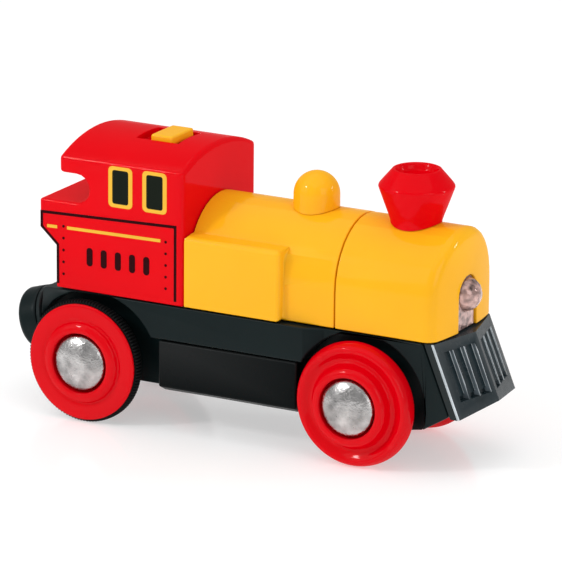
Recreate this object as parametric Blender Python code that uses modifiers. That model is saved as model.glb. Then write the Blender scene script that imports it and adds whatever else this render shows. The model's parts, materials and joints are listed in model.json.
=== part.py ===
"""Toy train locomotive: a battery engine for wooden track.

+X is forward, +Y is the engine's left, +Z is up. The origin is on the floor, under the
middle of the engine. Sizes are in millimetres; MM turns them into Blender's metres.
"""

import math

import bmesh
import bpy
from mathutils import Matrix, Vector

MM = 0.001
GAP = 0.3            # clearance between neighbouring pieces
OVERCUT = 2.0        # how far a cutter reaches past the face it opens
WELD_DISTANCE = 1e-6

# Body widths and levels
BODY_HALF = 14.2     # cab, side boxes and battery door
BOILER_HALF = 12.4
WALL = 1.5
CHASSIS_TOP = 25.2
SHELL_BASE = CHASSIS_TOP + GAP
CHASSIS_BOTTOM = 7.9
TUB_HALF = 9.4       # outer faces of the tub walls, inside the wheels
CAVITY_HALF = 8.2

# Wheels and axles
REAR_AXLE_X = -29.55
REAR_AXLE_Z = 12.0
FRONT_AXLE_X = 28.1
FRONT_AXLE_Z = 12.0
REAR_RADIUS = 12.0
FRONT_RADIUS = 12.0
AXLE_RADIUS = 1.5
AXLE_HALF_LENGTH = 15.5
BORE_RADIUS = AXLE_RADIUS + GAP
BUSH_RADIUS = 2.3
WHEEL_STEPS = 28
SMALL_STEPS = 16

# Cab
CAB_FRONT = -8.65
CAB_REAR_LOW = -36.35
CAB_REAR_HIGH = -39.95
CAB_ROOF_REAR = -35.65
CAB_DECK_Z = 42.6
NOTCH_TOP_Z = 48.3
NOTCH_END_X = -29.1
ROOF_PEAK_Z = 54.65
ROOF_ARCH_RADIUS = 33.1

# Boiler
BOILER_REAR = CAB_FRONT + GAP
SEAM_X = 22.69
BOILER_EDGE_X = 43.05     # front face at the sides
BOILER_NOSE_X = 44.45     # front face in the middle
NOSE_BULGE = BOILER_NOSE_X - BOILER_EDGE_X
NOSE_FILLET = 1.8
ARCH_CENTRE_Z = 32.5
SIDE_BOX_FRONT = 12.05
SIDE_BOX_TOP = 39.3

# Roof switch
RECESS = (-24.35, -15.15)
RECESS_HALF = 4.5
RECESS_FLOOR = 53.2
BUTTON = (-21.35, -16.65)

# Battery, an AAA cell above the axles
BATTERY_RADIUS = 5.25
BATTERY_X = (-17.6, 26.9)
BATTERY_Z = 19.3

# Gear train: every pair of shafts is 8.5 mm apart
MODULE = 0.5
AXLE_TEETH = 22
LOWER_PINION_TEETH = 12
LOWER_WHEEL_TEETH = 24
UPPER_PINION_TEETH = 10
UPPER_WHEEL_TEETH = 26
MOTOR_TEETH = 8
SHAFT_SPACING = MODULE * (AXLE_TEETH + LOWER_PINION_TEETH) / 2
PLANE_AXLE = (6.4, 7.9)
PLANE_LOWER = (4.7, 6.2)
PLANE_UPPER = (3.0, 4.5)
PIN_RADIUS = 0.75
PLATE_Y = (1.6, 2.7)
AXLE_POINT = Vector((REAR_AXLE_X, REAR_AXLE_Z))

# Coupling: a barrel that droops behind a two-pin knuckle
YAW_PIN_X = -41.2
PITCH_PIN = (-44.6, 15.1)
DROOP = math.radians(16.3)
BARREL_RADIUS = 6.1
BARREL_LENGTH = 5.37

# Cowcatcher, leaning forward
PLOW_TOP_Z = 25.2
PLOW_BOTTOM_Z = 11.4
PLOW_LEAN = 0.411
PLOW_HALF = 12.0
PLOW_CORNER_X = 43.05
PLOW_APEX_X = 46.0
PLOW_BACK_X = 41.3


# ---------------------------------------------------------------- scene and materials

def clear_scene():
    for old in list(bpy.data.objects):
        bpy.data.objects.remove(old, do_unlink=True)


def make_collection(name):
    collection = bpy.data.collections.new(name)
    bpy.context.scene.collection.children.link(collection)
    return collection


clear_scene()
PARTS = make_collection("toy_locomotive")
CUTTERS = make_collection("cutters")


def material(name, colour, roughness, metallic=0.0, transmission=0.0):
    made = bpy.data.materials.new(name)
    made.use_nodes = True
    shader = made.node_tree.nodes["Principled BSDF"]
    shader.inputs["Base Color"].default_value = (*colour, 1.0)
    shader.inputs["Roughness"].default_value = roughness
    shader.inputs["Metallic"].default_value = metallic
    shader.inputs["Transmission Weight"].default_value = transmission
    made.diffuse_color = (*colour, 1.0)
    return made


RED = material("red_plastic", (0.72, 0.012, 0.03), 0.22)
AMBER = material("amber_plastic", (0.95, 0.42, 0.03), 0.25)
BLACK = material("black_plastic", (0.012, 0.016, 0.018), 0.38)
GREY = material("plow_plastic", (0.05, 0.055, 0.062), 0.22)
CLEAR = material("clear_plastic", (0.9, 0.9, 0.88), 0.05, transmission=0.9)
STEEL = material("steel", (0.55, 0.55, 0.56), 0.3, 1.0)
CHROME = material("hub_cap_metal", (0.8, 0.8, 0.8), 0.18, 1.0)
RUBBER = material("tyre_rubber", (0.015, 0.015, 0.016), 0.75)
NYLON = material("gear_nylon", (0.85, 0.84, 0.78), 0.45)
BRASS = material("brass", (0.75, 0.52, 0.2), 0.3, 1.0)
CELL = material("battery_sleeve", (0.08, 0.16, 0.3), 0.35, 0.4)


# ---------------------------------------------------------------- modelling helpers

def add_object(name, mesh, finish, is_cutter=False):
    made = bpy.data.objects.new(name, mesh)
    if is_cutter:
        CUTTERS.objects.link(made)
        made.hide_render = True
        made.display_type = 'WIRE'
    else:
        PARTS.objects.link(made)
        mesh.materials.append(finish)
    return made


def finish_mesh(bm, name, origin=(0.0, 0.0, 0.0)):
    """Weld, orient and store a mesh that was built in world millimetres."""
    bmesh.ops.remove_doubles(bm, verts=bm.verts, dist=WELD_DISTANCE / MM)
    bmesh.ops.recalc_face_normals(bm, faces=bm.faces)
    bm.transform(Matrix.Scale(MM, 4) @ Matrix.Translation(-Vector(origin)))
    mesh = bpy.data.meshes.new(name)
    bm.to_mesh(mesh)
    bm.free()
    return mesh


def box(name, low, high, finish=None, origin=(0.0, 0.0, 0.0)):
    """A block between two corners. Without a finish it is a cutter or a guide."""
    low, high = Vector(low), Vector(high)
    bm = bmesh.new()
    size = high - low
    place = Matrix.Translation((low + high) / 2) @ Matrix.Diagonal((*size, 1.0))
    bmesh.ops.create_cube(bm, size=1.0, matrix=place)
    made = add_object(name, finish_mesh(bm, name, origin), finish, finish is None)
    made.location = Vector(origin) * MM
    return made


AXIS_TURN = {
    'X': Matrix.Rotation(math.radians(90), 4, 'Y'),
    '-X': Matrix.Rotation(math.radians(-90), 4, 'Y'),
    'Y': Matrix.Rotation(math.radians(-90), 4, 'X'),
    '-Y': Matrix.Rotation(math.radians(90), 4, 'X'),
    'Z': Matrix.Identity(4),
}


def rod(name, axis, centre, start, end, radius, finish=None, steps=SMALL_STEPS):
    """A cylinder along an axis through centre, from start to end on that axis."""
    turn = AXIS_TURN[axis]
    middle = turn.to_3x3() @ Vector((0.0, 0.0, (start + end) / 2))
    bm = bmesh.new()
    bmesh.ops.create_cone(bm, cap_ends=True, segments=steps, radius1=radius, radius2=radius,
                          depth=end - start, matrix=Matrix.Translation(middle) @ turn)
    mesh = finish_mesh(bm, name)
    mesh.shade_smooth()
    mesh.set_sharp_from_angle(angle=math.radians(40))
    made = add_object(name, mesh, finish, finish is None)
    made.location = Vector(centre) * MM
    return made


def turned(name, profile, finish=None, axis='Z', centre=(0.0, 0.0, 0.0), ring=False,
           steps=WHEEL_STEPS, tilt=None):
    """A turned piece: (radius, height) points, down the outer side from the top."""
    bm = bmesh.new()
    verts = [bm.verts.new((radius * MM, 0.0, height * MM)) for radius, height in profile]
    for first, second in zip(verts, verts[1:]):
        bm.edges.new((first, second))
    if ring:
        bm.edges.new((verts[-1], verts[0]))
    mesh = bpy.data.meshes.new(name)
    bm.to_mesh(mesh)
    bm.free()
    made = add_object(name, mesh, finish, finish is None)
    made.matrix_world = Matrix.Translation(Vector(centre) * MM) @ (tilt or AXIS_TURN[axis])
    screw = made.modifiers.new("turn", 'SCREW')
    screw.steps = steps
    screw.render_steps = steps
    screw.use_merge_vertices = True
    screw.merge_threshold = WELD_DISTANCE
    screw.use_smooth_shade = True
    return made


def arc(centre, radius, start, end, steps):
    """Points on a circular arc, from one angle to another in degrees."""
    points = []
    for step in range(steps + 1):
        angle = math.radians(start + (end - start) * step / steps)
        points.append((centre[0] + radius * math.cos(angle), centre[1] + radius * math.sin(angle)))
    return points


def circle(centre, radius, steps=SMALL_STEPS):
    return arc(centre, radius, 0.0, 360.0 * (steps - 1) / steps, steps - 1)


def rounded(corners, steps=3):
    """An outline whose (u, v, radius) corners are rounded off; (u, v) corners stay sharp."""
    outline = []
    count = len(corners)
    for index, corner in enumerate(corners):
        point = Vector(corner[:2])
        if len(corner) == 2:
            outline.append(tuple(point))
            continue
        before = (Vector(corners[index - 1][:2]) - point).normalized()
        after = (Vector(corners[(index + 1) % count][:2]) - point).normalized()
        half = before.angle(after) / 2
        centre = point + (before + after).normalized() * corner[2] / math.sin(half)
        start = point + before * corner[2] / math.tan(half) - centre
        end = point + after * corner[2] / math.tan(half) - centre
        turn = math.atan2(start.cross(end), start.dot(end))
        for step in range(steps + 1):
            spun = Matrix.Rotation(turn * step / steps, 2) @ start
            outline.append(tuple(centre + spun))
    return outline


PLANE_TURN = {
    'X': Matrix(((0, 0, 1, 0), (1, 0, 0, 0), (0, 1, 0, 0), (0, 0, 0, 1))),
    'Y': Matrix.Rotation(math.radians(90), 4, 'X'),
    'Z': Matrix.Identity(4),
}


def plate(name, outlines, axis, span, finish=None, origin=(0.0, 0.0, 0.0), warp=None):
    """A flat outline, with holes after it, swept along an axis over a span.

    Outlines are (y, z) for axis X, (x, z) for axis Y and (x, y) for axis Z.
    """
    curve = bpy.data.curves.new(name, 'CURVE')
    curve.dimensions = '2D'
    curve.fill_mode = 'BOTH'
    curve.extrude = (span[1] - span[0]) / 2
    for outline in outlines:
        spline = curve.splines.new('POLY')
        spline.points.add(len(outline) - 1)
        for point, (u, v) in zip(spline.points, outline):
            point.co = (u, v, 0.0, 1.0)
        spline.use_cyclic_u = True
    guide = bpy.data.objects.new(name + "_outline", curve)
    CUTTERS.objects.link(guide)
    depsgraph = bpy.context.evaluated_depsgraph_get()
    swept = bpy.data.meshes.new_from_object(guide.evaluated_get(depsgraph))
    bpy.data.objects.remove(guide)
    bm = bmesh.new()
    bm.from_mesh(swept)
    bpy.data.meshes.remove(swept)
    middle = {'X': 0, 'Y': 1, 'Z': 2}[axis]
    shift = Vector((0.0, 0.0, 0.0))
    shift[middle] = (span[0] + span[1]) / 2
    bm.transform(Matrix.Translation(shift) @ PLANE_TURN[axis])
    if warp:
        for vert in bm.verts:
            vert.co = warp(vert.co)
    made = add_object(name, finish_mesh(bm, name, origin), finish, finish is None)
    made.location = Vector(origin) * MM
    return made


def combine(target, other, operation):
    made = target.modifiers.new(other.name, 'BOOLEAN')
    made.operation = operation
    made.solver = 'EXACT'
    made.object = other


def cut(target, *cutters):
    for cutter in cutters:
        combine(target, cutter, 'DIFFERENCE')


def join(target, *others):
    for other in others:
        combine(target, other, 'UNION')


def both_sides(make):
    """Call make(sign, side name) for the near side (-Y) and the far side (+Y)."""
    return [make(-1, "right"), make(1, "left")]


# ---------------------------------------------------------------- chassis

def chassis_frame():
    chin_z = PLOW_BOTTOM_Z + GAP
    lean_bottom = PLOW_BACK_X - GAP + PLOW_LEAN * (PLOW_TOP_Z - chin_z)
    side = rounded([
        (-38.9, CHASSIS_BOTTOM, 1.0), (34.0, CHASSIS_BOTTOM), (35.0, 6.8), (39.8, 7.6),
        (lean_bottom, chin_z), (PLOW_BACK_X - GAP, CHASSIS_TOP), (-39.15, CHASSIS_TOP, 0.8),
        (-39.65, 19.3)])
    body = plate("chassis_frame", [side], 'Y', (-BODY_HALF, BODY_HALF), BLACK)

    plan = [(-45.0, -20.0), (17.0, -20.0), (17.0, -BODY_HALF), (20.6, -BOILER_HALF),
            (42.0, -BOILER_HALF), (55.0, -PLOW_HALF), (55.0, PLOW_HALF),
            (42.0, BOILER_HALF), (20.6, BOILER_HALF), (17.0, BODY_HALF), (17.0, 20.0),
            (-45.0, 20.0)]
    combine(body, plate("chassis_plan", [plan], 'Z', (0.0, 30.0)), 'INTERSECT')

    def wells(sign, side_name):
        span = sorted((sign * TUB_HALF, sign * (BODY_HALF + OVERCUT)))
        rear = rod(f"rear_well_{side_name}", 'Y', (-28.1, 0.0, 11.5), *span, 14.2, steps=48)
        front = rod(f"front_well_{side_name}", 'Y', (28.4, 0.0, 12.0), *span, 13.4, steps=48)
        door = box(f"door_space_{side_name}", (-16.0, span[0], 5.0), (17.6, span[1], 18.4))
        cut(body, rear, front, door)

    both_sides(wells)
    cut(body,
        box("door_space", (-14.2, -20.0, 0.0), (15.9, 20.0, 18.4)),
        box("mid_space", (-14.2, -12.8, 10.0), (14.6, 12.8, 23.8)),
        box("gear_space", (-37.9, -CAVITY_HALF, 0.0), (-22.6, CAVITY_HALF, 40.0)),
        box("battery_space", (-21.8, -CAVITY_HALF, 0.0), (27.9, CAVITY_HALF, 23.8)),
        box("battery_opening", (-21.8, -5.9, 20.0), (27.9, 5.9, 40.0)),
        box("upper_gear_opening", (-24.0, 2.0, 22.3), (-20.2, CAVITY_HALF, 40.0)),
        box("lamp_space", (28.9, -CAVITY_HALF, 10.2), (39.6, CAVITY_HALF, 40.0)),
        box("axle_space", (25.4, -CAVITY_HALF, 10.2), (30.5, CAVITY_HALF, 14.2)))

    for sign, side_name in ((-1, "right"), (1, "left")):
        low, high = sorted((sign * (TUB_HALF - 0.6), sign * 12.4))
        join(body,
             box(f"rear_well_roof_{side_name}", (-38.5, low, 24.5), (-13.8, high, CHASSIS_TOP)),
             box(f"front_well_roof_{side_name}", (24.0, low, 24.6), (32.5, high, CHASSIS_TOP)))

    lug = box("pin_lug", (-30.6, CAVITY_HALF, 24.0), (-24.2, TUB_HALF, 31.3))
    ribs = [box(f"battery_rib_{name}", (-14.0, low, 15.0), (15.2, low + 1.0, 24.2))
            for name, low in (("right", -6.9), ("left", 5.9))]
    door_boss = rod("door_boss", 'Z', (-4.0, -9.9, 0.0), 11.3, 24.4, 2.3)
    posts = [rod(f"gearbox_post_{index}", 'Z', (x, GEARBOX_SCREW_Y, 0.0), 10.7, 21.0, 1.9)
             for index, x in enumerate(GEARBOX_SCREW_X)]
    posts += [box(f"gearbox_web_{index}", (x - 0.7, -CAVITY_HALF - 0.4, 10.7),
                  (x + 0.7, GEARBOX_SCREW_Y, 21.0)) for index, x in enumerate(GEARBOX_SCREW_X)]
    bracket = [plate(f"coupler_lug_{name}",
                     [arc((YAW_PIN_X, 0.0), 2.2, 90.0, 270.0, 8) + [(-38.4, -2.2), (-38.4, 2.2)]],
                     'Z', span) for name, span in (("lower", (12.3, 13.3)), ("upper", (19.4, 20.4)))]
    join(body, lug, *ribs, door_boss, *posts, *bracket)

    cut(body,
        rod("rear_bush_bore", 'Y', (REAR_AXLE_X, 0.0, REAR_AXLE_Z), -12.0, 12.0, BUSH_RADIUS + GAP),
        rod("front_bush_bore", 'Y', (FRONT_AXLE_X, 0.0, FRONT_AXLE_Z), -12.0, 12.0,
            BUSH_RADIUS + GAP),
        rod("lower_pin_bore", 'Y', shaft_centre(LOWER_POINT), 7.0, 10.0, PIN_RADIUS + GAP),
        rod("upper_pin_bore", 'Y', shaft_centre(UPPER_POINT), 7.0, 10.0, PIN_RADIUS + GAP),
        rod("door_thread", 'Z', (-4.0, -9.9, 0.0), 10.0, 17.0, 1.3),
        rod("yaw_bore", 'Z', (YAW_PIN_X, 0.0, 0.0), 11.0, 22.0, 1.3),
        rod("knuckle_space", 'Z', (YAW_PIN_X, 0.0, 0.0), 13.3, 19.4, 2.5, steps=24))
    for index, x in enumerate(GEARBOX_SCREW_X):
        cut(body, rod(f"gearbox_thread_{index}", 'Z', (x, GEARBOX_SCREW_Y, 0.0), 9.0, 17.0, 1.1))
    for name, y in BODY_SCREW_Y:
        cut(body, rod(f"body_screw_hole_{name}", 'Z', (BODY_SCREW_X, y, 0.0), 22.0, 27.0, 1.3))


GEARBOX_SCREW_X = (-35.4, -24.9)
GEARBOX_SCREW_Y = -5.5
BODY_SCREW_X = 8.0
BODY_SCREW_Y = (("right", -10.7), ("left", 10.7))


def step_from(point, degrees):
    """The next shaft, at the common spacing, leaning forward from straight up."""
    lean = math.radians(degrees)
    return point + Vector((math.sin(lean), math.cos(lean))) * SHAFT_SPACING


LOWER_POINT = step_from(AXLE_POINT, -5.0)
UPPER_POINT = step_from(LOWER_POINT, 20.0)
MOTOR_POINT = step_from(UPPER_POINT, 68.0)


def shaft_centre(point):
    return (point[0], 0.0, point[1])


def screw_piece(name, x, y, head_low, head_radius, shank_radius, shank_top):
    head_high = head_low + 1.1
    slot_top = head_low + 0.5
    piece = turned(name, [
        (0.0, shank_top), (shank_radius, shank_top - 0.5), (shank_radius, head_high),
        (head_radius, head_high), (head_radius, head_low + 0.3), (head_radius - 0.3, head_low),
        (0.0, head_low)], STEEL, centre=(x, y, 0.0), steps=12)
    arm = head_radius * 0.6
    for index, (dx, dy) in enumerate(((arm, 0.25), (0.25, arm))):
        cut(piece, box(f"{name}_recess_{index}", (x - dx, y - dy, head_low - 1.0),
                       (x + dx, y + dy, slot_top)))


def battery_door():
    section = [(-BODY_HALF, 18.1), (-BODY_HALF, 9.1), (-12.0, CHASSIS_BOTTOM),
               (12.0, CHASSIS_BOTTOM), (BODY_HALF, 9.1), (BODY_HALF, 18.1), (12.8, 18.1),
               (12.8, 9.9), (11.6, 9.3), (-11.6, 9.3), (-12.8, 9.9), (-12.8, 18.1)]
    door = plate("battery_door", [section], 'X', (-13.9, 15.6), BLACK)
    ends = []
    for x, end_name in ((-13.9, "rear"), (14.4, "front")):
        for sign, side_name in ((-1, "right"), (1, "left")):
            low, high = sorted((sign * TUB_HALF, sign * 13.5))
            ends.append(box(f"door_end_{end_name}_{side_name}", (x, low, 9.4), (x + 1.2, high, 18.0)))
    tongue = box("door_tongue", (-21.5, -7.9, CHASSIS_BOTTOM), (25.1, 7.9, 9.3))
    rests = [box(f"battery_rest_{index}", (x, -4.0, 9.0), (x + 1.2, 4.0, 13.7))
             for index, x in enumerate((-9.0, 8.0))]
    boss = rod("door_screw_boss", 'Z', (-4.0, -9.9, 0.0), 8.7, 11.0, 3.0)
    join(door, tongue, *ends, *rests, boss)
    cut(door,
        rod("door_screw_sink", 'Z', (-4.0, -9.9, 0.0), 5.0, 9.5, 2.1),
        rod("door_screw_hole", 'Z', (-4.0, -9.9, 0.0), 5.0, 13.0, 1.3))
    screw_piece("door_screw", -4.0, -9.9, 8.1, 1.8, 1.0, 15.5)


def gearbox_cover():
    cover = box("gearbox_cover", (-37.6, -7.9, CHASSIS_BOTTOM), (-22.9, 7.9, 9.3), BLACK)
    cup = [(-36.7, 7.0), (-34.0, 4.8, 1.0), (-25.1, 4.8, 1.0), (-23.2, 7.0)]
    inner_cup = plate("gear_cup_inner", [rounded([(-36.7, 8.6), *cup, (-23.2, 8.6)])], 'Y', (5.2, 7.8))
    outer_cup = plate("gear_cup_outer", [rounded([(-36.7, 7.6), *cup, (-23.2, 7.6)])], 'Y', (7.5, 9.1))
    bosses = [rod(f"cover_boss_{index}", 'Z', (x, GEARBOX_SCREW_Y, 0.0), 8.2, 10.4, 2.3)
              for index, x in enumerate(GEARBOX_SCREW_X)]
    join(cover, inner_cup, outer_cup, *bosses)
    cut(cover, rod("gear_cup_space", 'Y', (REAR_AXLE_X, 0.0, REAR_AXLE_Z), 6.1, 8.2, 6.5, steps=32))
    for index, x in enumerate(GEARBOX_SCREW_X):
        cut(cover,
            rod(f"cover_sink_{index}", 'Z', (x, GEARBOX_SCREW_Y, 0.0), 5.0, 9.4, 1.6),
            rod(f"cover_hole_{index}", 'Z', (x, GEARBOX_SCREW_Y, 0.0), 5.0, 12.0, 1.1))
        screw_piece(f"gearbox_screw_{index + 1}", x, GEARBOX_SCREW_Y, 8.0, 1.3, 0.8, 15.5)


# ---------------------------------------------------------------- cab

def roof_outline(rise, half, base):
    """Cab cross-section: upright sides under an arch, lowered by rise."""
    peak = ROOF_PEAK_Z - rise
    centre_z = peak - ROOF_ARCH_RADIUS
    spread = math.degrees(math.asin(half / ROOF_ARCH_RADIUS))
    arch = arc((0.0, centre_z), ROOF_ARCH_RADIUS, 90.0 - spread, 90.0 + spread, 16)
    return [(half, base)] + arch + [(-half, base)]


def cab_shell():
    notch_radius = (NOTCH_TOP_Z - CAB_DECK_Z) / 2
    notch_centre = (NOTCH_END_X - notch_radius, CAB_DECK_Z + notch_radius)
    side = [(CAB_FRONT, SHELL_BASE), (CAB_FRONT, 60.0), (CAB_ROOF_REAR, 60.0),
            (CAB_ROOF_REAR, NOTCH_TOP_Z)]
    side += arc(notch_centre, notch_radius, 90.0, -90.0, 8)
    side += [(CAB_REAR_HIGH, CAB_DECK_Z), (CAB_REAR_HIGH, 37.0), (CAB_REAR_LOW, 33.8),
             (CAB_REAR_LOW, SHELL_BASE)]
    shell = plate("cab_shell", [side], 'Y', (-BODY_HALF, BODY_HALF), RED)
    combine(shell, plate("cab_section", [roof_outline(0.0, BODY_HALF, 20.0)], 'X', (-60.0, 0.0)),
            'INTERSECT')
    inner = [(CAB_FRONT - WALL, 20.0), (CAB_FRONT - WALL, 50.0), (-27.6, 50.0), (-27.6, 41.1),
             (CAB_REAR_HIGH + WALL, 41.1), (CAB_REAR_HIGH + WALL, 37.6),
             (CAB_REAR_LOW + WALL, 34.4), (CAB_REAR_LOW + WALL, 20.0)]
    half = BODY_HALF - WALL
    cut(shell,
        plate("cab_space", [inner], 'Y', (-half, half)),
        box("switch_recess", (RECESS[0], -RECESS_HALF, RECESS_FLOOR), (RECESS[1], RECESS_HALF, 60.0)),
        box("switch_slot", (-23.2, -1.6, 45.0), (-16.3, 1.6, 60.0)))


def switch():
    centre = (BUTTON[0] + BUTTON[1]) / 2
    origin = (centre, 0.0, RECESS_FLOOR)
    cap = plate("switch_slider", [rounded([
        (BUTTON[0], RECESS_FLOOR + GAP), (BUTTON[1], RECESS_FLOOR + GAP),
        (BUTTON[1], 55.3, 0.4), (BUTTON[0], 55.3, 0.4)])], 'Y', (-4.2, 4.2), AMBER, origin)
    stem = box("switch_stem", (centre - 1.0, -1.2, 48.6), (centre + 1.0, 1.2, 54.0))
    foot = box("switch_foot", (centre - 1.8, -2.8, 48.2), (centre + 1.8, 2.8, 49.6))
    join(cap, stem, foot)
    box("switch_contact", (-24.0, 3.4, 49.2), (-14.5, 6.0, 49.7), BRASS)


# ---------------------------------------------------------------- boiler

def boiler_outline(half, base):
    return [(half, base)] + arc((0.0, ARCH_CENTRE_Z), half, 0.0, 180.0, 20) + [(-half, base)]


def boiler_rear_shell():
    span = (BOILER_REAR, SEAM_X - GAP / 2)
    shell = plate("boiler_rear_shell", [boiler_outline(BOILER_HALF, SHELL_BASE)], 'X', span, AMBER)
    side_box = rounded([(-BODY_HALF, SHELL_BASE), (BODY_HALF, SHELL_BASE),
                        (BODY_HALF, SIDE_BOX_TOP, 1.0), (-BODY_HALF, SIDE_BOX_TOP, 1.0)])
    boxes = plate("side_boxes", [side_box], 'X', (BOILER_REAR, SIDE_BOX_FRONT))
    inner_box = box("side_box_space", (BOILER_REAR - OVERCUT, -BODY_HALF + WALL, 20.0),
                    (SIDE_BOX_FRONT - WALL, BODY_HALF - WALL, SIDE_BOX_TOP - WALL))
    inner = plate("boiler_space", [boiler_outline(BOILER_HALF - WALL, 20.0)], 'X', (-15.0, 30.0))
    join(shell, boxes)
    cut(shell, inner_box, inner)
    for name, y in BODY_SCREW_Y:
        join(shell, rod(f"screw_boss_{name}", 'Z', (BODY_SCREW_X, y, 0.0), SHELL_BASE, 33.0, 2.3))
        cut(shell, rod(f"screw_boss_bore_{name}", 'Z', (BODY_SCREW_X, y, 0.0), 24.0, 31.0, 1.3))
        screw_piece(f"body_screw_{name}", BODY_SCREW_X, y, 22.4, 1.8, 1.0, 29.5)
    cut(shell, rod("dome_hole", 'Z', (DOME_X, 0.0, 0.0), 40.0, 50.0, 2.3))


def nose_block(name, inset, start, base, finish=None):
    """The boiler's front end: an arch with a bulged face and one fillet all round it."""
    half = BOILER_HALF - inset
    fillet = NOSE_FILLET - inset
    columns, steps = 16, 4
    rings = [(half, None)]
    for step in range(steps + 1):
        angle = math.radians(90.0 * step / steps)
        rings.append((half - fillet * (1 - math.cos(angle)), -fillet * (1 - math.sin(angle))))
    bm = bmesh.new()
    loops = []
    for ring_half, offset in rings:
        upper = arc((0.0, ARCH_CENTRE_Z), ring_half, 180.0, 0.0, columns)
        lower = [(y, base) for y, z in upper]
        loop = []
        for y, z in lower + upper[::-1]:
            face = BOILER_NOSE_X - inset - NOSE_BULGE * (y / BOILER_HALF) ** 2
            loop.append(bm.verts.new((start if offset is None else face + offset, y, z)))
        loops.append(loop)
    size = len(loops[0])
    for near, far in zip(loops, loops[1:]):
        for index in range(size):
            after = (index + 1) % size
            bm.faces.new((near[index], near[after], far[after], far[index]))
    bm.faces.new(loops[0])
    last = loops[-1]
    for index in range(columns):
        bm.faces.new((last[index], last[index + 1], last[-index - 2], last[-index - 1]))
    return add_object(name, finish_mesh(bm, name), finish, finish is None)


def boiler_front_shell():
    start = SEAM_X + GAP / 2
    shell = nose_block("boiler_front_shell", 0.0, start, SHELL_BASE, AMBER)
    cut(shell,
        nose_block("front_space", WALL, start - OVERCUT, SHELL_BASE - OVERCUT),
        plate("lamp_slot", [lamp_outline(LENS_HALF + GAP, 20.0)], 'X', (40.0, 50.0)),
        rod("funnel_hole", 'Z', (FUNNEL_X, 0.0, 0.0), 40.0, 50.0, 2.8))


LENS_HALF = 3.4
LENS_Z = 32.2


def lamp_outline(half, base):
    """The lamp's upright slot with a round head."""
    return [(half, base)] + arc((0.0, LENS_Z), half, 0.0, 180.0, 12) + [(-half, base)]


def headlamp():
    lens = plate("headlamp_lens", [lamp_outline(LENS_HALF, SHELL_BASE)], 'X', (42.1, 43.9), CLEAR)
    bulge = turned("lens_bulge", [(0.0, 46.8), (1.3, 46.6), (2.3, 46.0), (3.0, 45.1), (3.3, 44.1),
                                  (3.3, 43.0), (0.0, 43.0)], axis='X', centre=(0.0, 0.0, LENS_Z),
                   steps=24)
    join(lens, bulge)
    turned("headlamp_led", [(0.0, 41.6), (0.9, 41.4), (1.45, 40.7), (1.5, 38.4), (1.9, 38.4),
                            (1.9, 37.6), (0.0, 37.6)], CLEAR, 'X', (0.0, 0.0, LENS_Z),
           steps=SMALL_STEPS)


DOME_X = 12.25
DOME_RADIUS = 4.42
DOME_CENTRE_Z = 47.3
FUNNEL_X = 33.25


def saddle_cut(piece, name, x, reach):
    """Shape a turned fitting's foot to sit on the boiler's arch, outside its spigot."""
    under = rod(f"{name}_saddle", 'X', (0.0, 0.0, ARCH_CENTRE_Z), x - reach, x + reach,
                BOILER_HALF + GAP, steps=64)
    cut(piece, under)


def dome():
    cap = [(DOME_RADIUS * math.cos(math.radians(a)),
            DOME_CENTRE_Z + DOME_RADIUS * math.sin(math.radians(a)))
           for a in (75.0, 60.0, 45.0, 30.0, 15.0, 0.0)]
    profile = [(0.0, DOME_CENTRE_Z + DOME_RADIUS)] + cap + [(DOME_RADIUS, 40.0), (0.0, 40.0)]
    piece = turned("dome", profile, AMBER, centre=(DOME_X, 0.0, 0.0), steps=24)
    saddle_cut(piece, "dome", DOME_X, 8.0)
    join(piece, rod("dome_spigot", 'Z', (DOME_X, 0.0, 0.0), 42.4, 47.0, 2.0))


def funnel():
    profile = [(0.0, 53.2), (3.3, 53.3), (3.8, 54.3), (4.0, 54.95), (4.5, 55.0), (4.74, 54.7),
               (7.1, 52.0), (7.2, 51.6), (7.1, 51.2), (4.95, 46.6), (4.72, 45.9), (4.72, 40.0),
               (0.0, 40.0)]
    piece = turned("funnel", profile, RED, centre=(FUNNEL_X, 0.0, 0.0), steps=24)
    saddle_cut(piece, "funnel", FUNNEL_X, 10.0)
    join(piece, rod("funnel_spigot", 'Z', (FUNNEL_X, 0.0, 0.0), 42.4, 47.0, 2.5))


# ---------------------------------------------------------------- cowcatcher

def lean_forward(point):
    """Shear forward towards the bottom; the bottom edge rises a little in the middle."""
    if point.z < (PLOW_TOP_Z + PLOW_BOTTOM_Z) / 2:
        rise = 1.15 * max(0.0, 1.0 - abs(point.y) / PLOW_HALF)
        point.z += rise
    point.x += PLOW_LEAN * (PLOW_TOP_Z - point.z)
    return point


def lean_only(point):
    point.x += PLOW_LEAN * (PLOW_TOP_Z - point.z)
    return point


def cowcatcher():
    plan = [(PLOW_BACK_X, -PLOW_HALF), (PLOW_CORNER_X, -PLOW_HALF), (PLOW_APEX_X, 0.0),
            (PLOW_CORNER_X, PLOW_HALF), (PLOW_BACK_X, PLOW_HALF)]
    plow = plate("cowcatcher", [plan], 'Z', (PLOW_BOTTOM_Z, PLOW_TOP_Z), GREY, warp=lean_forward)
    for index, (low, high) in enumerate(PLOW_PANELS):
        for sign, side_name in ((-1, "right"), (1, "left")):
            name = f"{side_name}_{index}"
            panel = plow_pocket(f"plow_panel_{name}", sign, (low, high), (0.85, 0.25), (14.4, 23.4))
            slot = plow_pocket(f"plow_slot_{name}", sign, (low, high), (1.3, 1.3), (14.4, 15.2))
            cut(plow, panel, slot)


PLOW_PANELS = ((1.2, 3.9), (4.3, 6.9), (7.3, 9.8))


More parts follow.
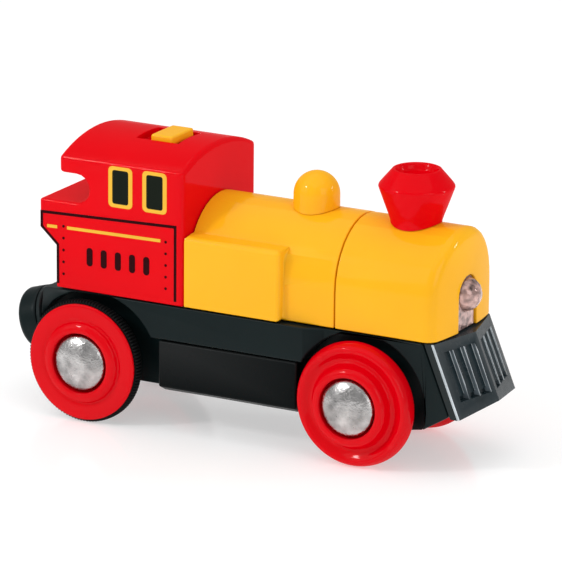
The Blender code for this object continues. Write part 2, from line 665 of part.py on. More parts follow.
def plow_pocket(name, sign, reach, depths, span):
    """A cutter into one slanted half of the plow's face; the depths are at its two sides."""
    slope = (PLOW_APEX_X - PLOW_CORNER_X) / PLOW_HALF
    inner, outer = (PLOW_APEX_X - slope * y for y in reach)
    outline = [(inner - depths[0], sign * reach[0]), (inner + 3.0, sign * reach[0]),
               (outer + 3.0, sign * reach[1]), (outer - depths[1], sign * reach[1])]
    return plate(name, [outline], 'Z', span, warp=lean_only)


# ---------------------------------------------------------------- wheels and axles

def axle(name, x, z):
    rod(name, 'Y', (x, 0.0, z), -AXLE_HALF_LENGTH, AXLE_HALF_LENGTH, AXLE_RADIUS, STEEL)


HUB = [(5.85, 17.4), (6.3, 17.6), (7.2, 17.4)]
FRONT_RIM = [(7.8, 16.2), (8.4, 15.1), (9.3, 15.2), (10.3, 15.9), (11.2, 15.8), (11.7, 14.9),
             (FRONT_RADIUS, 13.8), (FRONT_RADIUS, 13.2), (11.2, 11.9), (10.3, 10.7), (9.9, 10.3)]
REAR_RIM = [(7.9, 17.0), (8.2, 16.45), (11.0, 16.45), (11.5, 16.3), (11.6, 16.0), (9.9, 16.0),
            (9.9, 10.3)]
WHEEL_BORE = [(BORE_RADIUS, 10.3), (BORE_RADIUS, 15.85), (5.85, 15.85)]
CAP = [(0.0, 18.75), (1.9, 18.65), (3.6, 18.25), (4.9, 17.6), (5.5, 17.0), (5.5, 16.15),
       (0.0, 16.15)]
TYRE = [(11.8, 15.7), (REAR_RADIUS, 15.5), (REAR_RADIUS, 14.2), (10.8, 12.0), (10.2, 12.0),
        (10.2, 15.7)]
BUSH = [(BUSH_RADIUS, 9.8), (BUSH_RADIUS, 8.2), (BORE_RADIUS, 8.2), (BORE_RADIUS, 9.8)]


def wheel_set(end, x, z, rim):
    def one_side(sign, side_name):
        axis = 'Y' if sign > 0 else '-Y'
        centre = (x, 0.0, z)
        turned(f"{end}_wheel_{side_name}", HUB + rim + WHEEL_BORE, RED, axis, centre, ring=True)
        turned(f"{end}_hub_cap_{side_name}", CAP, CHROME, axis, centre, steps=20)
        turned(f"{end}_bush_{side_name}", BUSH, BRASS, axis, centre, ring=True, steps=SMALL_STEPS)
        if end == "rear":
            turned(f"rear_tyre_{side_name}", TYRE, RUBBER, axis, centre, ring=True)

    both_sides(one_side)
    axle(f"{end}_axle", x, z)


# ---------------------------------------------------------------- gear train

PRESSURE = math.radians(24.0)
BACKLASH = 0.16


def involute(radius, base):
    ratio = min(1.0, base / radius)
    angle = math.acos(ratio)
    return math.tan(angle) - angle


def gear_outline(centre, teeth, phase):
    """A spur gear with one tooth centred on the phase angle, as an (x, z) outline."""
    pitch = MODULE * teeth / 2
    base = pitch * math.cos(PRESSURE)
    half_at_pitch = math.pi / (2 * teeth) * (1.0 - BACKLASH)
    radii = (pitch - 1.15 * MODULE, pitch, pitch + 0.85 * MODULE)
    flank = []
    for radius in radii:
        half = half_at_pitch + involute(pitch, base) - involute(max(radius, base), base)
        flank.append((radius, half))
    points = []
    for tooth in range(teeth):
        middle = phase + 2 * math.pi * tooth / teeth
        for sign, order in ((-1, flank), (1, flank[::-1])):
            for radius, half in order:
                angle = middle + sign * half
                points.append((centre[0] + radius * math.cos(angle),
                               centre[1] + radius * math.sin(angle)))
    return points


def heading(start, end):
    direction = end - start
    return math.atan2(direction[1], direction[0])


def driven_phase(driver, gear, teeth):
    """Phase that puts a gap of the gear on the driver's tooth."""
    return heading(gear, driver) + math.pi / teeth


def gear(name, point, teeth, phase, span, bore, finish=NYLON):
    hole = circle(point, bore, 16)
    return plate(name, [gear_outline(point, teeth, phase), hole], 'Y', span, finish,
                 shaft_centre(point))


def compound_gear(name, point, pinion, wheel):
    """Two gears in one moulding, joined by a short hub between their planes."""
    made = gear(name, point, *pinion, PIN_RADIUS + GAP)
    other = gear(f"{name}_wheel", point, *wheel, PIN_RADIUS + GAP, None)
    gap = sorted((*pinion[2], *wheel[2]))[1:3]
    hub = plate(f"{name}_hub", [circle(point, 1.7, 16), circle(point, PIN_RADIUS + GAP, 16)],
                'Y', (gap[0] - 0.5, gap[1] + 0.5), origin=shaft_centre(point))
    join(made, other, hub)


def gear_train():
    gear("axle_gear", AXLE_POINT, AXLE_TEETH, heading(AXLE_POINT, LOWER_POINT), PLANE_AXLE,
         BORE_RADIUS)
    compound_gear(
        "lower_compound_gear", LOWER_POINT,
        (LOWER_PINION_TEETH, driven_phase(AXLE_POINT, LOWER_POINT, LOWER_PINION_TEETH), PLANE_AXLE),
        (LOWER_WHEEL_TEETH, heading(LOWER_POINT, UPPER_POINT), PLANE_LOWER))
    compound_gear(
        "upper_compound_gear", UPPER_POINT,
        (UPPER_PINION_TEETH, driven_phase(LOWER_POINT, UPPER_POINT, UPPER_PINION_TEETH),
         PLANE_LOWER),
        (UPPER_WHEEL_TEETH, heading(UPPER_POINT, MOTOR_POINT), PLANE_UPPER))
    gear("motor_pinion", MOTOR_POINT, MOTOR_TEETH,
         driven_phase(UPPER_POINT, MOTOR_POINT, MOTOR_TEETH), PLANE_UPPER, PIN_RADIUS + GAP, BRASS)
    for name, point in (("lower_gear_pin", LOWER_POINT), ("upper_gear_pin", UPPER_POINT)):
        rod(name, 'Y', shaft_centre(point), 1.5, 9.3, PIN_RADIUS, STEEL, 12)


def gearbox_plate():
    low = [(-34.4, 9.8), (-23.9, 9.8), (-23.9, 25.7), (-12.6, 25.7), (-12.6, 37.4), (-22.5, 37.4),
           (-34.4, 31.5)]
    holes = [circle(AXLE_POINT, 2.0, 16), circle(LOWER_POINT, PIN_RADIUS + GAP, 12),
             circle(UPPER_POINT, PIN_RADIUS + GAP, 12), circle(MOTOR_POINT, 1.6, 16)]
    plate("gearbox_plate", [low, *holes], 'Y', PLATE_Y, NYLON)


MOTOR_RADIUS = 7.75
MOTOR_FLAT_HALF = 6.0


def motor():
    flat = math.degrees(math.asin(MOTOR_FLAT_HALF / MOTOR_RADIUS))
    outline = (arc(MOTOR_POINT, MOTOR_RADIUS, -flat, flat, 8)
               + arc(MOTOR_POINT, MOTOR_RADIUS, 180.0 - flat, 180.0 + flat, 8))
    hole = circle(MOTOR_POINT, PIN_RADIUS + GAP, 12)
    plate("motor_can", [outline, hole], 'Y', (-10.9, 1.3), STEEL)
    bell = rounded([(MOTOR_POINT[0] - 6.2, MOTOR_POINT[1] - 5.2, 1.5),
                    (MOTOR_POINT[0] + 6.2, MOTOR_POINT[1] - 5.2, 1.5),
                    (MOTOR_POINT[0] + 6.2, MOTOR_POINT[1] + 5.2, 1.5),
                    (MOTOR_POINT[0] - 6.2, MOTOR_POINT[1] + 5.2, 1.5)])
    plate("motor_end_bell", [bell, hole], 'Y', (-12.3, -11.2), NYLON)
    rod("motor_shaft", 'Y', shaft_centre(MOTOR_POINT), -12.2, 4.7, PIN_RADIUS, STEEL, 12)


# ---------------------------------------------------------------- battery

def battery():
    start, end = BATTERY_X
    turned("battery", [(0.0, end), (1.9, end), (1.9, end - 0.8), (4.9, end - 0.8),
                       (BATTERY_RADIUS, end - 1.2), (BATTERY_RADIUS, start + 0.4),
                       (4.9, start), (0.0, start)], CELL, 'X', (0.0, 0.0, BATTERY_Z), steps=28)
    for name, x in (("rear_contact", -21.5), ("front_contact", 27.2)):
        box(name, (x, -4.5, 15.0), (x + 0.3, 4.5, 23.4), BRASS)


def battery_spring():
    """A conical spring between the rear contact and the cell's flat end."""
    turns, per_turn = 3.0, 12
    start_x, end_x = -20.6, -18.2
    wide, narrow = 3.8, 2.0
    curve = bpy.data.curves.new("battery_spring", 'CURVE')
    curve.dimensions = '3D'
    curve.bevel_depth = 0.25 * MM
    curve.bevel_resolution = 0
    curve.use_fill_caps = True
    spline = curve.splines.new('POLY')
    count = int(turns * per_turn)
    spline.points.add(count)
    for index, point in enumerate(spline.points):
        share = index / count
        angle = 2 * math.pi * turns * share
        radius = wide + (narrow - wide) * share
        point.co = ((start_x + (end_x - start_x) * share) * MM, radius * math.cos(angle) * MM,
                    (BATTERY_Z + radius * math.sin(angle)) * MM, 1.0)
    made = bpy.data.objects.new("battery_spring", curve)
    PARTS.objects.link(made)
    curve.materials.append(STEEL)


# ---------------------------------------------------------------- coupling

BARREL_TILT = Matrix.Rotation(-(math.pi / 2 + DROOP), 4, 'Y')
BARREL_SEAM = 0.85
EAR_HALF = 3.1
TONGUE_HALF = 1.3


def on_barrel(along, up):
    """An (x, z) point: along the barrel from the pitch pin, and up across it."""
    return (PITCH_PIN[0] - along * math.cos(DROOP) - up * math.sin(DROOP),
            PITCH_PIN[1] - along * math.sin(DROOP) + up * math.cos(DROOP))


def barrel_block(name, along, up, span):
    corners = [on_barrel(along[0], up[0]), on_barrel(along[1], up[0]),
               on_barrel(along[1], up[1]), on_barrel(along[0], up[1])]
    return plate(name, [corners], 'Y', span)


def coupler_knuckle():
    rod("coupler_yaw_pin", 'Z', (YAW_PIN_X, 0.0, 0.0), 11.9, 20.8, 1.0, STEEL, 12)
    knuckle = rod("coupler_knuckle", 'Z', (YAW_PIN_X, 0.0, 0.0), 13.6, 19.1, 2.2, BLACK)
    pitch_x, pitch_z = PITCH_PIN
    arm = plate("knuckle_arm", [[(YAW_PIN_X, pitch_z - TONGUE_HALF), (YAW_PIN_X, pitch_z + 2.6)]
                                + arc((pitch_x, pitch_z), TONGUE_HALF, 90.0, 270.0, 6)],
                'Y', (-TONGUE_HALF, TONGUE_HALF))
    join(knuckle, arm)
    centre = (pitch_x, 0.0, pitch_z)
    cut(knuckle,
        rod("knuckle_bore", 'Z', (YAW_PIN_X, 0.0, 0.0), 12.0, 21.0, 1.3),
        rod("knuckle_pitch_bore", 'Y', centre, -3.0, 3.0, 0.9, steps=12))
    rod("coupler_pitch_pin", 'Y', centre, -3.6, 3.6, 0.6, STEEL, 12)


def coupler_barrel():
    centre = (PITCH_PIN[0], 0.0, PITCH_PIN[1])
    boss = 4.6
    housing = turned("coupler_housing", [
        (0.0, 2.1), (boss, 2.1), (boss, BARREL_SEAM), (BARREL_RADIUS, BARREL_SEAM),
        (BARREL_RADIUS, 0.2), (BARREL_RADIUS - 0.2, 0.0), (0.0, 0.0)],
        BLACK, centre=centre, tilt=BARREL_TILT, steps=24)
    clear = TONGUE_HALF + GAP
    join(housing,
         barrel_block("clevis_ear_right", (-1.3, 0.6), (-1.3, 1.3), (-EAR_HALF, -clear)),
         barrel_block("clevis_ear_left", (-1.3, 0.6), (-1.3, 1.3), (clear, EAR_HALF)))
    cut(housing,
        barrel_block("tongue_pocket", (-3.0, 1.6), (-2.0, 2.0), (-clear, clear)),
        rod("pitch_pin_hole", 'Y', centre, -3.9, 3.9, 0.9, steps=12))
    turned("coupler_cap", [
        (4.2, BARREL_LENGTH), (5.3, BARREL_LENGTH), (5.87, 5.13), (BARREL_RADIUS, 4.57),
        (BARREL_RADIUS, BARREL_SEAM + GAP), (boss + GAP, BARREL_SEAM + GAP), (boss + GAP, 4.3),
        (4.2, 4.3)], BLACK, centre=centre, tilt=BARREL_TILT, ring=True, steps=24)
    turned("coupler_magnet", [
        (0.0, 5.6), (3.9, 5.6), (3.9, 4.0), (boss, 4.0), (boss, 2.4), (0.0, 2.4)],
        STEEL, centre=centre, tilt=BARREL_TILT, steps=24)


def build():
    chassis_frame()
    battery_door()
    gearbox_cover()
    cab_shell()
    switch()
    boiler_rear_shell()
    boiler_front_shell()
    headlamp()
    dome()
    funnel()
    cowcatcher()
    wheel_set("rear", REAR_AXLE_X, REAR_AXLE_Z, REAR_RIM)
    wheel_set("front", FRONT_AXLE_X, FRONT_AXLE_Z, FRONT_RIM)
    gear_train()
    gearbox_plate()
    motor()
    battery()
    battery_spring()
    coupler_knuckle()
    coupler_barrel()


build()
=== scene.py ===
"""Looks for the toy train locomotive: finished surfaces, printing, toothed wheels and light."""

import json
import math

import bmesh
import bpy
from mathutils import Matrix, Vector


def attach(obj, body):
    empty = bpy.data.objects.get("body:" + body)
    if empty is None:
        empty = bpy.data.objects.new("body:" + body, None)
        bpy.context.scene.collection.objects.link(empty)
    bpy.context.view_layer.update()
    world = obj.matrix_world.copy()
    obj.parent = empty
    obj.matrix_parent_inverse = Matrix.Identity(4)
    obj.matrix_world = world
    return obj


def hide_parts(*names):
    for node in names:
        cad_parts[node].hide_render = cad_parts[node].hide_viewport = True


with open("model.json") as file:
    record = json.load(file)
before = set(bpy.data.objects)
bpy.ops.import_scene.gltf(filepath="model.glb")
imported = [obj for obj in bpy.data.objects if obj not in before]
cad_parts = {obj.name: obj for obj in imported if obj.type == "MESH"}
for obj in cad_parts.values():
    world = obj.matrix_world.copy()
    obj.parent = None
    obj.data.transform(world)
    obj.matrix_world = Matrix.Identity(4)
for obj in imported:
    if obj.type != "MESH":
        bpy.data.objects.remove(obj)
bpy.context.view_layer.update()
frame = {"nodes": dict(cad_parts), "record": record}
NODES = frame["nodes"]
MM = 0.001

# Places and sizes in mm, as in the CAD. Axles are (x, z).
BODY_HALF = 14.2
BOILER_HALF = 12.4
CHASSIS_TOP = 25.2
SHELL_BASE = 25.5
CAB_FRONT = -8.65
CAB_ROOF_REAR = -35.65
CAB_DECK_Z = 42.6
RECESS_FLOOR = 53.2
BOILER_REAR = -8.35
SIDE_BOX_FRONT = 12.05
SEAM_REAR, SEAM_FRONT = 22.54, 22.84
ARCH_CENTRE_Z = 32.5
REAR_AXLE = (-29.55, 12.0)
FRONT_AXLE = (28.1, 12.0)
PLOW_BACK_X = 41.3
PLOW_LEAN = 0.411
PLOW_HALF = 12.0
PITCH_PIN = (-44.6, 0.0, 15.1)
DROOP = math.radians(16.3)

PRINT_THICKNESS = 0.05
SHARP_ANGLE = math.radians(32)      # an edge that turns more than this is sharp
FLAT_ANGLE = math.radians(1.5)      # faces that turn less than this become one
ON_FACE = 0.15                      # how near a face an edge counts as lying on it


# ---------------------------------------------------------------- materials

NOISE_RANGE = (0.3, 0.7)            # where most of a noise texture's values lie
EDGE_HIGHLIGHT_RANGE = (0.52, 0.62)            # pointiness from where the painted edge highlight starts to where it is fullest


def srgb(red, green, blue):
    """A linear colour from 0-255 display values."""
    return tuple((value / 255) ** 2.2 for value in (red, green, blue))


def surface(name, colour, roughness, metallic=0.0, specular=0.5, grain=0.02, grain_scale=900.0,
            mottle=0.04, mottle_scale=60.0, edge=0.0, coat=0.0, transmission=0.0,
            scuffs=0.06, subsurface=0.0, glow=0.0):
    """A moulded or metal surface: mottled colour, uneven gloss, fine grain and a painted highlight on
    its edges.
    """
    made = bpy.data.materials.new(name)
    made.use_nodes = True
    made.diffuse_color = (*colour, 1.0)
    nodes, links = made.node_tree.nodes, made.node_tree.links
    shader = nodes["Principled BSDF"]
    shader.inputs["Metallic"].default_value = metallic
    shader.inputs["Specular IOR Level"].default_value = specular
    shader.inputs["Coat Weight"].default_value = coat
    shader.inputs["Coat Roughness"].default_value = 0.07
    shader.inputs["Transmission Weight"].default_value = transmission
    shader.inputs["Subsurface Weight"].default_value = subsurface
    shader.inputs["Subsurface Scale"].default_value = 0.002
    shader.inputs["Emission Color"].default_value = (1.0, 1.0, 1.0, 1.0)
    shader.inputs["Emission Strength"].default_value = glow
    place = nodes.new("ShaderNodeTexCoord").outputs["Object"]

    def noise(scale, detail):
        texture = nodes.new("ShaderNodeTexNoise")
        texture.inputs["Scale"].default_value = scale
        texture.inputs["Detail"].default_value = detail
        links.new(place, texture.inputs["Vector"])
        return texture.outputs["Fac"]

    def spread(value, low, high):
        ranged = nodes.new("ShaderNodeMapRange")
        ranged.inputs["From Min"].default_value = NOISE_RANGE[0]
        ranged.inputs["From Max"].default_value = NOISE_RANGE[1]
        ranged.inputs["To Min"].default_value = low
        ranged.inputs["To Max"].default_value = high
        links.new(value, ranged.inputs["Value"])
        return ranged.outputs["Result"]

    mix = nodes.new("ShaderNodeMix")
    mix.data_type = 'RGBA'
    mix.inputs["A"].default_value = (*(c * (1.0 - mottle) for c in colour), 1.0)
    mix.inputs["B"].default_value = (*(min(1.0, c * (1.0 + mottle)) for c in colour), 1.0)
    links.new(spread(noise(mottle_scale, 4.0), 0.0, 1.0), mix.inputs["Factor"])
    finish = mix.outputs["Result"]
    # Painted highlight: edges, picked out by pointiness, are mixed towards a lighter colour as if they
    # caught the light.
    if edge:
        rim = nodes.new("ShaderNodeMapRange")
        rim.inputs["From Min"].default_value = EDGE_HIGHLIGHT_RANGE[0]
        rim.inputs["From Max"].default_value = EDGE_HIGHLIGHT_RANGE[1]
        rim.inputs["To Max"].default_value = edge
        links.new(nodes.new("ShaderNodeNewGeometry").outputs["Pointiness"], rim.inputs["Value"])
        painted_edge_highlight = nodes.new("ShaderNodeMix")
        painted_edge_highlight.data_type = 'RGBA'
        painted_edge_highlight.inputs["B"].default_value = (*(min(1.0, c * 1.4 + 0.08) for c in colour), 1.0)
        links.new(rim.outputs["Result"], painted_edge_highlight.inputs["Factor"])
        links.new(finish, painted_edge_highlight.inputs["A"])
        finish = painted_edge_highlight.outputs["Result"]
    links.new(finish, shader.inputs["Base Color"])
    links.new(spread(noise(mottle_scale * 5, 6.0), max(0.02, roughness - scuffs),
                     roughness + scuffs), shader.inputs["Roughness"])
    bump = nodes.new("ShaderNodeBump")
    bump.inputs["Strength"].default_value = grain
    bump.inputs["Distance"].default_value = 0.0002
    links.new(noise(grain_scale, 3.0), bump.inputs["Height"])
    links.new(bump.outputs["Normal"], shader.inputs["Normal"])
    return made


# edge= sets how strong each finish's painted edge highlight is.
RED = surface("cab_red", srgb(224, 2, 22), 0.16, specular=0.0, edge=0.06, coat=0.16)
# Painted shade: the wheels take a darker copy of the cab's red plastic.
WHEEL_RED_SHADED = surface("wheel_red_painted_shade", srgb(216, 2, 23), 0.17, specular=0.0, edge=0.06, coat=0.25)
AMBER = surface("boiler_amber", srgb(252, 180, 32), 0.17, specular=0.0, edge=0.05, coat=0.34)
BLACK = surface("chassis_black", srgb(21, 32, 33), 0.34, specular=0.1, grain=0.08,
                grain_scale=1500.0, edge=0.22, mottle=0.15)
# Painted shade: the battery door takes a darker copy of the chassis black.
DOOR_BLACK_SHADED = surface("door_black_painted_shade", srgb(6, 14, 15), 0.3, specular=0.04, grain=0.08,
                     grain_scale=1500.0, edge=0.2, mottle=0.15)
PLOW = surface("plow_grey", srgb(32, 42, 46), 0.24, specular=0.12, edge=0.3, mottle=0.25,
               mottle_scale=140.0)
# Painted highlight: the plow's sideways slot walls and rounded edges get these light greys.
PLOW_WALL_HIGHLIGHT = surface("plow_slot_wall_painted_highlight", srgb(92, 102, 108), 0.2, specular=0.4, mottle=0.3,
                    mottle_scale=240.0)
PLOW_EDGE_HIGHLIGHT = surface("plow_edge_painted_highlight", srgb(190, 198, 203), 0.18, 0.2, specular=0.5, mottle=0.2,
                    mottle_scale=200.0)
CHROME = surface("cap_chrome", (0.4, 0.39, 0.385), 0.2, 1.0, grain=0.45, grain_scale=2200.0,
                 mottle=0.45, mottle_scale=330.0, scuffs=0.1)
STEEL = surface("plain_steel", (0.42, 0.42, 0.43), 0.3, 1.0, grain=0.1, mottle=0.1)
RUBBER = surface("tyre_black", srgb(18, 19, 20), 0.7, specular=0.2, grain=0.3, mottle=0.2)
NYLON = surface("gear_nylon_white", (0.8, 0.79, 0.72), 0.45, grain=0.05, subsurface=0.2)
BRASS = surface("spring_brass", (0.72, 0.5, 0.2), 0.28, 1.0, grain=0.08, mottle=0.15)
CELL = surface("cell_sleeve", (0.03, 0.1, 0.22), 0.3, 0.3, coat=0.5, mottle=0.1)
# Partly painted light: the pink-brown tone is the lens's own colour, while the near-white flecks of its
# strong mottle are painted glints of the crinkled clear plastic.
LENS_WITH_PAINTED_GLINTS = surface("lamp_clear_painted_glints", (0.5, 0.32, 0.29), 0.1, 0.35, specular=0.9, transmission=0.15,
               grain=1.0, grain_scale=520.0, mottle=0.9, mottle_scale=620.0)
PRINT_DARK = surface("print_black", srgb(46, 6, 14), 0.3, specular=0.06, mottle=0.2)
PRINT_YELLOW = surface("print_yellow", srgb(238, 184, 66), 0.3, specular=0.06, mottle=0.06)
PANE = surface("print_window", srgb(16, 24, 14), 0.15, specular=0.1, mottle=0.3)

PAINT = {"red_plastic": RED, "amber_plastic": AMBER, "black_plastic": BLACK,
         "plow_plastic": PLOW, "clear_plastic": LENS_WITH_PAINTED_GLINTS, "steel": STEEL, "hub_cap_metal": CHROME,
         "tyre_rubber": RUBBER, "gear_nylon": NYLON, "brass": BRASS, "battery_sleeve": CELL}
SLOT_OF = {part["node"]: part["material_slot"] for part in frame["record"]["subparts"]}
BODY_OF = {node: body for body, nodes in frame["record"]["behaviour"]["bodies"].items()
           for node in nodes}

for node, obj in NODES.items():
    obj.data.materials.clear()
    obj.data.materials.append(PAINT[SLOT_OF[node]])


# ---------------------------------------------------------------- piece helpers

def add_piece(name, mesh, finish, body, slot, *replaced):
    """A piece that rides a body, and stands in for the CAD nodes given last."""
    mesh.materials.append(finish)
    piece = bpy.data.objects.new(name, mesh)
    bpy.context.scene.collection.objects.link(piece)
    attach(piece, body)
    if replaced:
        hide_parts(*replaced)
    return piece


def softened(node, rule, widest, segments, finish=None, accents=(), tint=None):
    """The CAD shape with its edges rounded: rule gives each sharp edge's width in mm.

    tint picks an accent for a face, from 1 up, or 0 for the finish itself. Rounded edges take
    the last accent.
    """
    bm = bmesh.new()
    bm.from_mesh(NODES[node].data)
    bmesh.ops.remove_doubles(bm, verts=bm.verts, dist=2e-6)
    bmesh.ops.dissolve_limit(bm, angle_limit=FLAT_ANGLE, verts=bm.verts, edges=bm.edges)
    weights = bm.edges.layers.float.new("bevel_weight_edge")
    for edge in bm.edges:
        if len(edge.link_faces) == 2 and edge.calc_face_angle() > SHARP_ANGLE:
            first, second = (vert.co / MM for vert in edge.verts)
            edge[weights] = min(1.0, rule(first, second) / widest)
    if tint:
        for face in bm.faces:
            face.material_index = tint(face.calc_center_median() / MM, face.normal)
    mesh = bpy.data.meshes.new(node + "_finished")
    bm.to_mesh(mesh)
    bm.free()
    mesh.shade_smooth()
    mesh.set_sharp_from_angle(angle=SHARP_ANGLE)
    slot = SLOT_OF[node]
    piece = add_piece(node + "_finished", mesh, finish or PAINT[slot], BODY_OF[node], slot, node)
    for accent in accents:
        mesh.materials.append(accent)
    bevel = piece.modifiers.new("soft_edges", 'BEVEL')
    bevel.material = len(accents) or -1
    bevel.limit_method = 'WEIGHT'
    bevel.width = widest * MM
    bevel.segments = segments
    bevel.use_clamp_overlap = False
    bevel.harden_normals = True
    even = piece.modifiers.new("even_shading", 'WEIGHTED_NORMAL')
    even.mode = 'FACE_AREA'
    even.weight = 100
    even.keep_sharp = True
    return piece


def rounded_off(points):
    """A closed profile with each corner cut a quarter of the way along, for moulded edges."""
    cut = []
    for index, (u, v) in enumerate(points):
        after = points[(index + 1) % len(points)]
        cut.append((u * 0.75 + after[0] * 0.25, v * 0.75 + after[1] * 0.25))
        cut.append((u * 0.25 + after[0] * 0.75, v * 0.25 + after[1] * 0.75))
    return cut


TOOTH_BLEND = 0.4       # mm of radius over which the teeth grow to their full depth
TOOTH_WIDTH = 1.6       # above 1 the teeth get flat tops


def lathe(profile, place, steps, closed=True, ripple=None):
    """A mesh of revolution about place's local Z, from (radius, height) points in mm.

    ripple is (teeth, depth, inner radius): a toothed rim beyond that radius.
    """
    bm = bmesh.new()
    rings = []
    for step in range(steps):
        angle = 2 * math.pi * step / steps
        ring = []
        for radius, height in profile:
            if ripple and radius > ripple[2]:
                share = min(1.0, (radius - ripple[2]) / TOOTH_BLEND)
                wave = 0.5 + 0.5 * math.cos(angle * ripple[0])
                radius -= ripple[1] * share * (1.0 - min(1.0, wave * TOOTH_WIDTH))
            ring.append(bm.verts.new((radius * math.cos(angle) * MM,
                                      radius * math.sin(angle) * MM, height * MM)))
        rings.append(ring)
    last = len(profile) if closed else len(profile) - 1
    for near, far in zip(rings, rings[1:] + rings[:1]):
        for index in range(last):
            after = (index + 1) % len(profile)
            bm.faces.new((near[index], near[after], far[after], far[index]))
    bmesh.ops.remove_doubles(bm, verts=bm.verts, dist=1e-7)
    bmesh.ops.recalc_face_normals(bm, faces=bm.faces)
    bm.transform(place)
    mesh = bpy.data.meshes.new("turned")
    bm.to_mesh(mesh)
    bm.free()
    mesh.shade_smooth()
    mesh.set_sharp_from_angle(angle=math.radians(50))
    return mesh


def side_place(point, sign):
    """Places a lathe at an (x, z) axle, with its height running out to that side."""
    turn = Matrix.Rotation(math.radians(-90 * sign), 4, 'X')
    return Matrix.Translation((point[0] * MM, 0.0, point[1] * MM)) @ turn


def stroke(points, width):
    """An outline of even width round an open line of (x, z) points."""
    left, right = [], []
    for index, point in enumerate(points):
        here = Vector(point)
        before = (here - Vector(points[index - 1])).normalized() if index else None
        after = (Vector(points[index + 1]) - here).normalized() if index + 1 < len(points) else None
        along = ((before or after) + (after or before)).normalized()
        across = Vector((-along.y, along.x)) * width / 2
        if before and after:
            across /= max(0.5, along.dot(after))
        left.append(tuple(here + across))
        right.append(tuple(here - across))
    return left + right[::-1]


def disc(centre, radius, steps=12):
    """A round outline about an (x, z) point."""
    return [(centre[0] + radius * math.cos(2 * math.pi * step / steps),
             centre[1] + radius * math.sin(2 * math.pi * step / steps)) for step in range(steps)]


def panel(low, high, radius, steps=5):
    """A rounded rectangle between two (x, z) corners."""
    outline = []
    corners = ((high[0], high[1], 0), (low[0], high[1], 90), (low[0], low[1], 180),
               (high[0], low[1], 270))
    for x, z, start in corners:
        centre_x = x - radius if x == high[0] else x + radius
        centre_z = z - radius if z == high[1] else z + radius
        for step in range(steps + 1):
            angle = math.radians(start + 90.0 * step / steps)
            outline.append((centre_x + radius * math.cos(angle),
                            centre_z + radius * math.sin(angle)))
    return outline


def side_print(name, outlines, finish):
    """Ink on both sides of the cab: flat (x, z) outlines, PRINT_THICKNESS thick."""
    curve = bpy.data.curves.new(name, 'CURVE')
    curve.dimensions = '2D'
    curve.fill_mode = 'BOTH'
    curve.extrude = PRINT_THICKNESS / 2 * MM
    for outline in outlines:
        spline = curve.splines.new('POLY')
        spline.points.add(len(outline) - 1)
        for point, (x, z) in zip(spline.points, outline):
            point.co = (x * MM, z * MM, 0.0, 1.0)
        spline.use_cyclic_u = True
    guide = bpy.data.objects.new(name, curve)
    bpy.context.scene.collection.objects.link(guide)
    depsgraph = bpy.context.evaluated_depsgraph_get()
    flat = bpy.data.meshes.new_from_object(guide.evaluated_get(depsgraph))
    bpy.data.objects.remove(guide)
    for sign, side_name in ((-1, "right"), (1, "left")):
        mesh = flat.copy()
        out = (BODY_HALF + PRINT_THICKNESS / 2) * MM
        mesh.transform(Matrix.Translation((0.0, sign * out, 0.0))
                       @ Matrix.Rotation(math.radians(90), 4, 'X'))
        add_piece(f"{name}_{side_name}", mesh, finish, "chassis", "red_plastic")


# ---------------------------------------------------------------- cab and its printing

X, Z = 0, 2


def on_both(first, second, axis, value):
    """Whether both ends of an edge lie on the plane where axis has that value."""
    return abs(first[axis] - value) < ON_FACE and abs(second[axis] - value) < ON_FACE


def nearest_side(first, second):
    """How far out the end of an edge that is nearer the middle lies."""
    return min(abs(first.y), abs(second.y))


CAB_INSIDE_HALF = 12.75     # just outside the side walls' inner faces
CAB_INSIDE_TOP = 50.5       # just above the ceiling inside
CAB_FRONT_REACH = -8.7      # just behind the front face
RECESS_SIDE = 4.6           # just outside the switch recess
ROOF_REAR_Z = 48.0          # just below the roof's rear face
CAB_WIDEST = 0.9


def cab_edge(first, second):
    high = min(first.z, second.z)
    behind_front = max(first.x, second.x) < CAB_FRONT_REACH
    inside = nearest_side(first, second) < CAB_INSIDE_HALF and high < CAB_INSIDE_TOP
    if inside and behind_front and not on_both(first, second, Z, CAB_DECK_Z):
        return 0.0
    if on_both(first, second, Z, SHELL_BASE):
        return 0.25
    if on_both(first, second, X, CAB_FRONT):
        return CAB_WIDEST
    if on_both(first, second, X, CAB_ROOF_REAR) and high > ROOF_REAR_Z:
        return CAB_WIDEST
    near_middle = abs(first.y) < RECESS_SIDE and abs(second.y) < RECESS_SIDE
    if on_both(first, second, Z, RECESS_FLOOR) or near_middle and high > CAB_INSIDE_TOP:
        return 0.15
    return 0.5


softened("cab_shell", cab_edge, CAB_WIDEST, 4)

WINDOWS = ((-24.8, -19.6), (-17.4, -12.15))
WINDOW_Z = (43.0, 51.0)
BORDER, BORDER_HEIGHT = 0.85, 0.7
WINDOW_CORNER, PANE_CORNER = 0.9, 0.5
frames, panes = [], []
for left, right in WINDOWS:
    pane = panel((left + BORDER, WINDOW_Z[0] + BORDER_HEIGHT),
                 (right - BORDER, WINDOW_Z[1] - BORDER_HEIGHT), PANE_CORNER)
    frames += [panel((left, WINDOW_Z[0]), (right, WINDOW_Z[1]), WINDOW_CORNER), pane]
    panes.append(pane)
side_print("window_frames", frames, PRINT_YELLOW)
side_print("window_panes", panes, PANE)

STRIPE_WIDTH, LINE_WIDTH = 0.6, 0.55
side_print("cab_stripes", [stroke([(-38.3, 37.35), (-36.1, 37.4)], STRIPE_WIDTH),
                           stroke([(-33.9, 37.5), (-13.5, 37.8)], STRIPE_WIDTH)], PRINT_YELLOW)

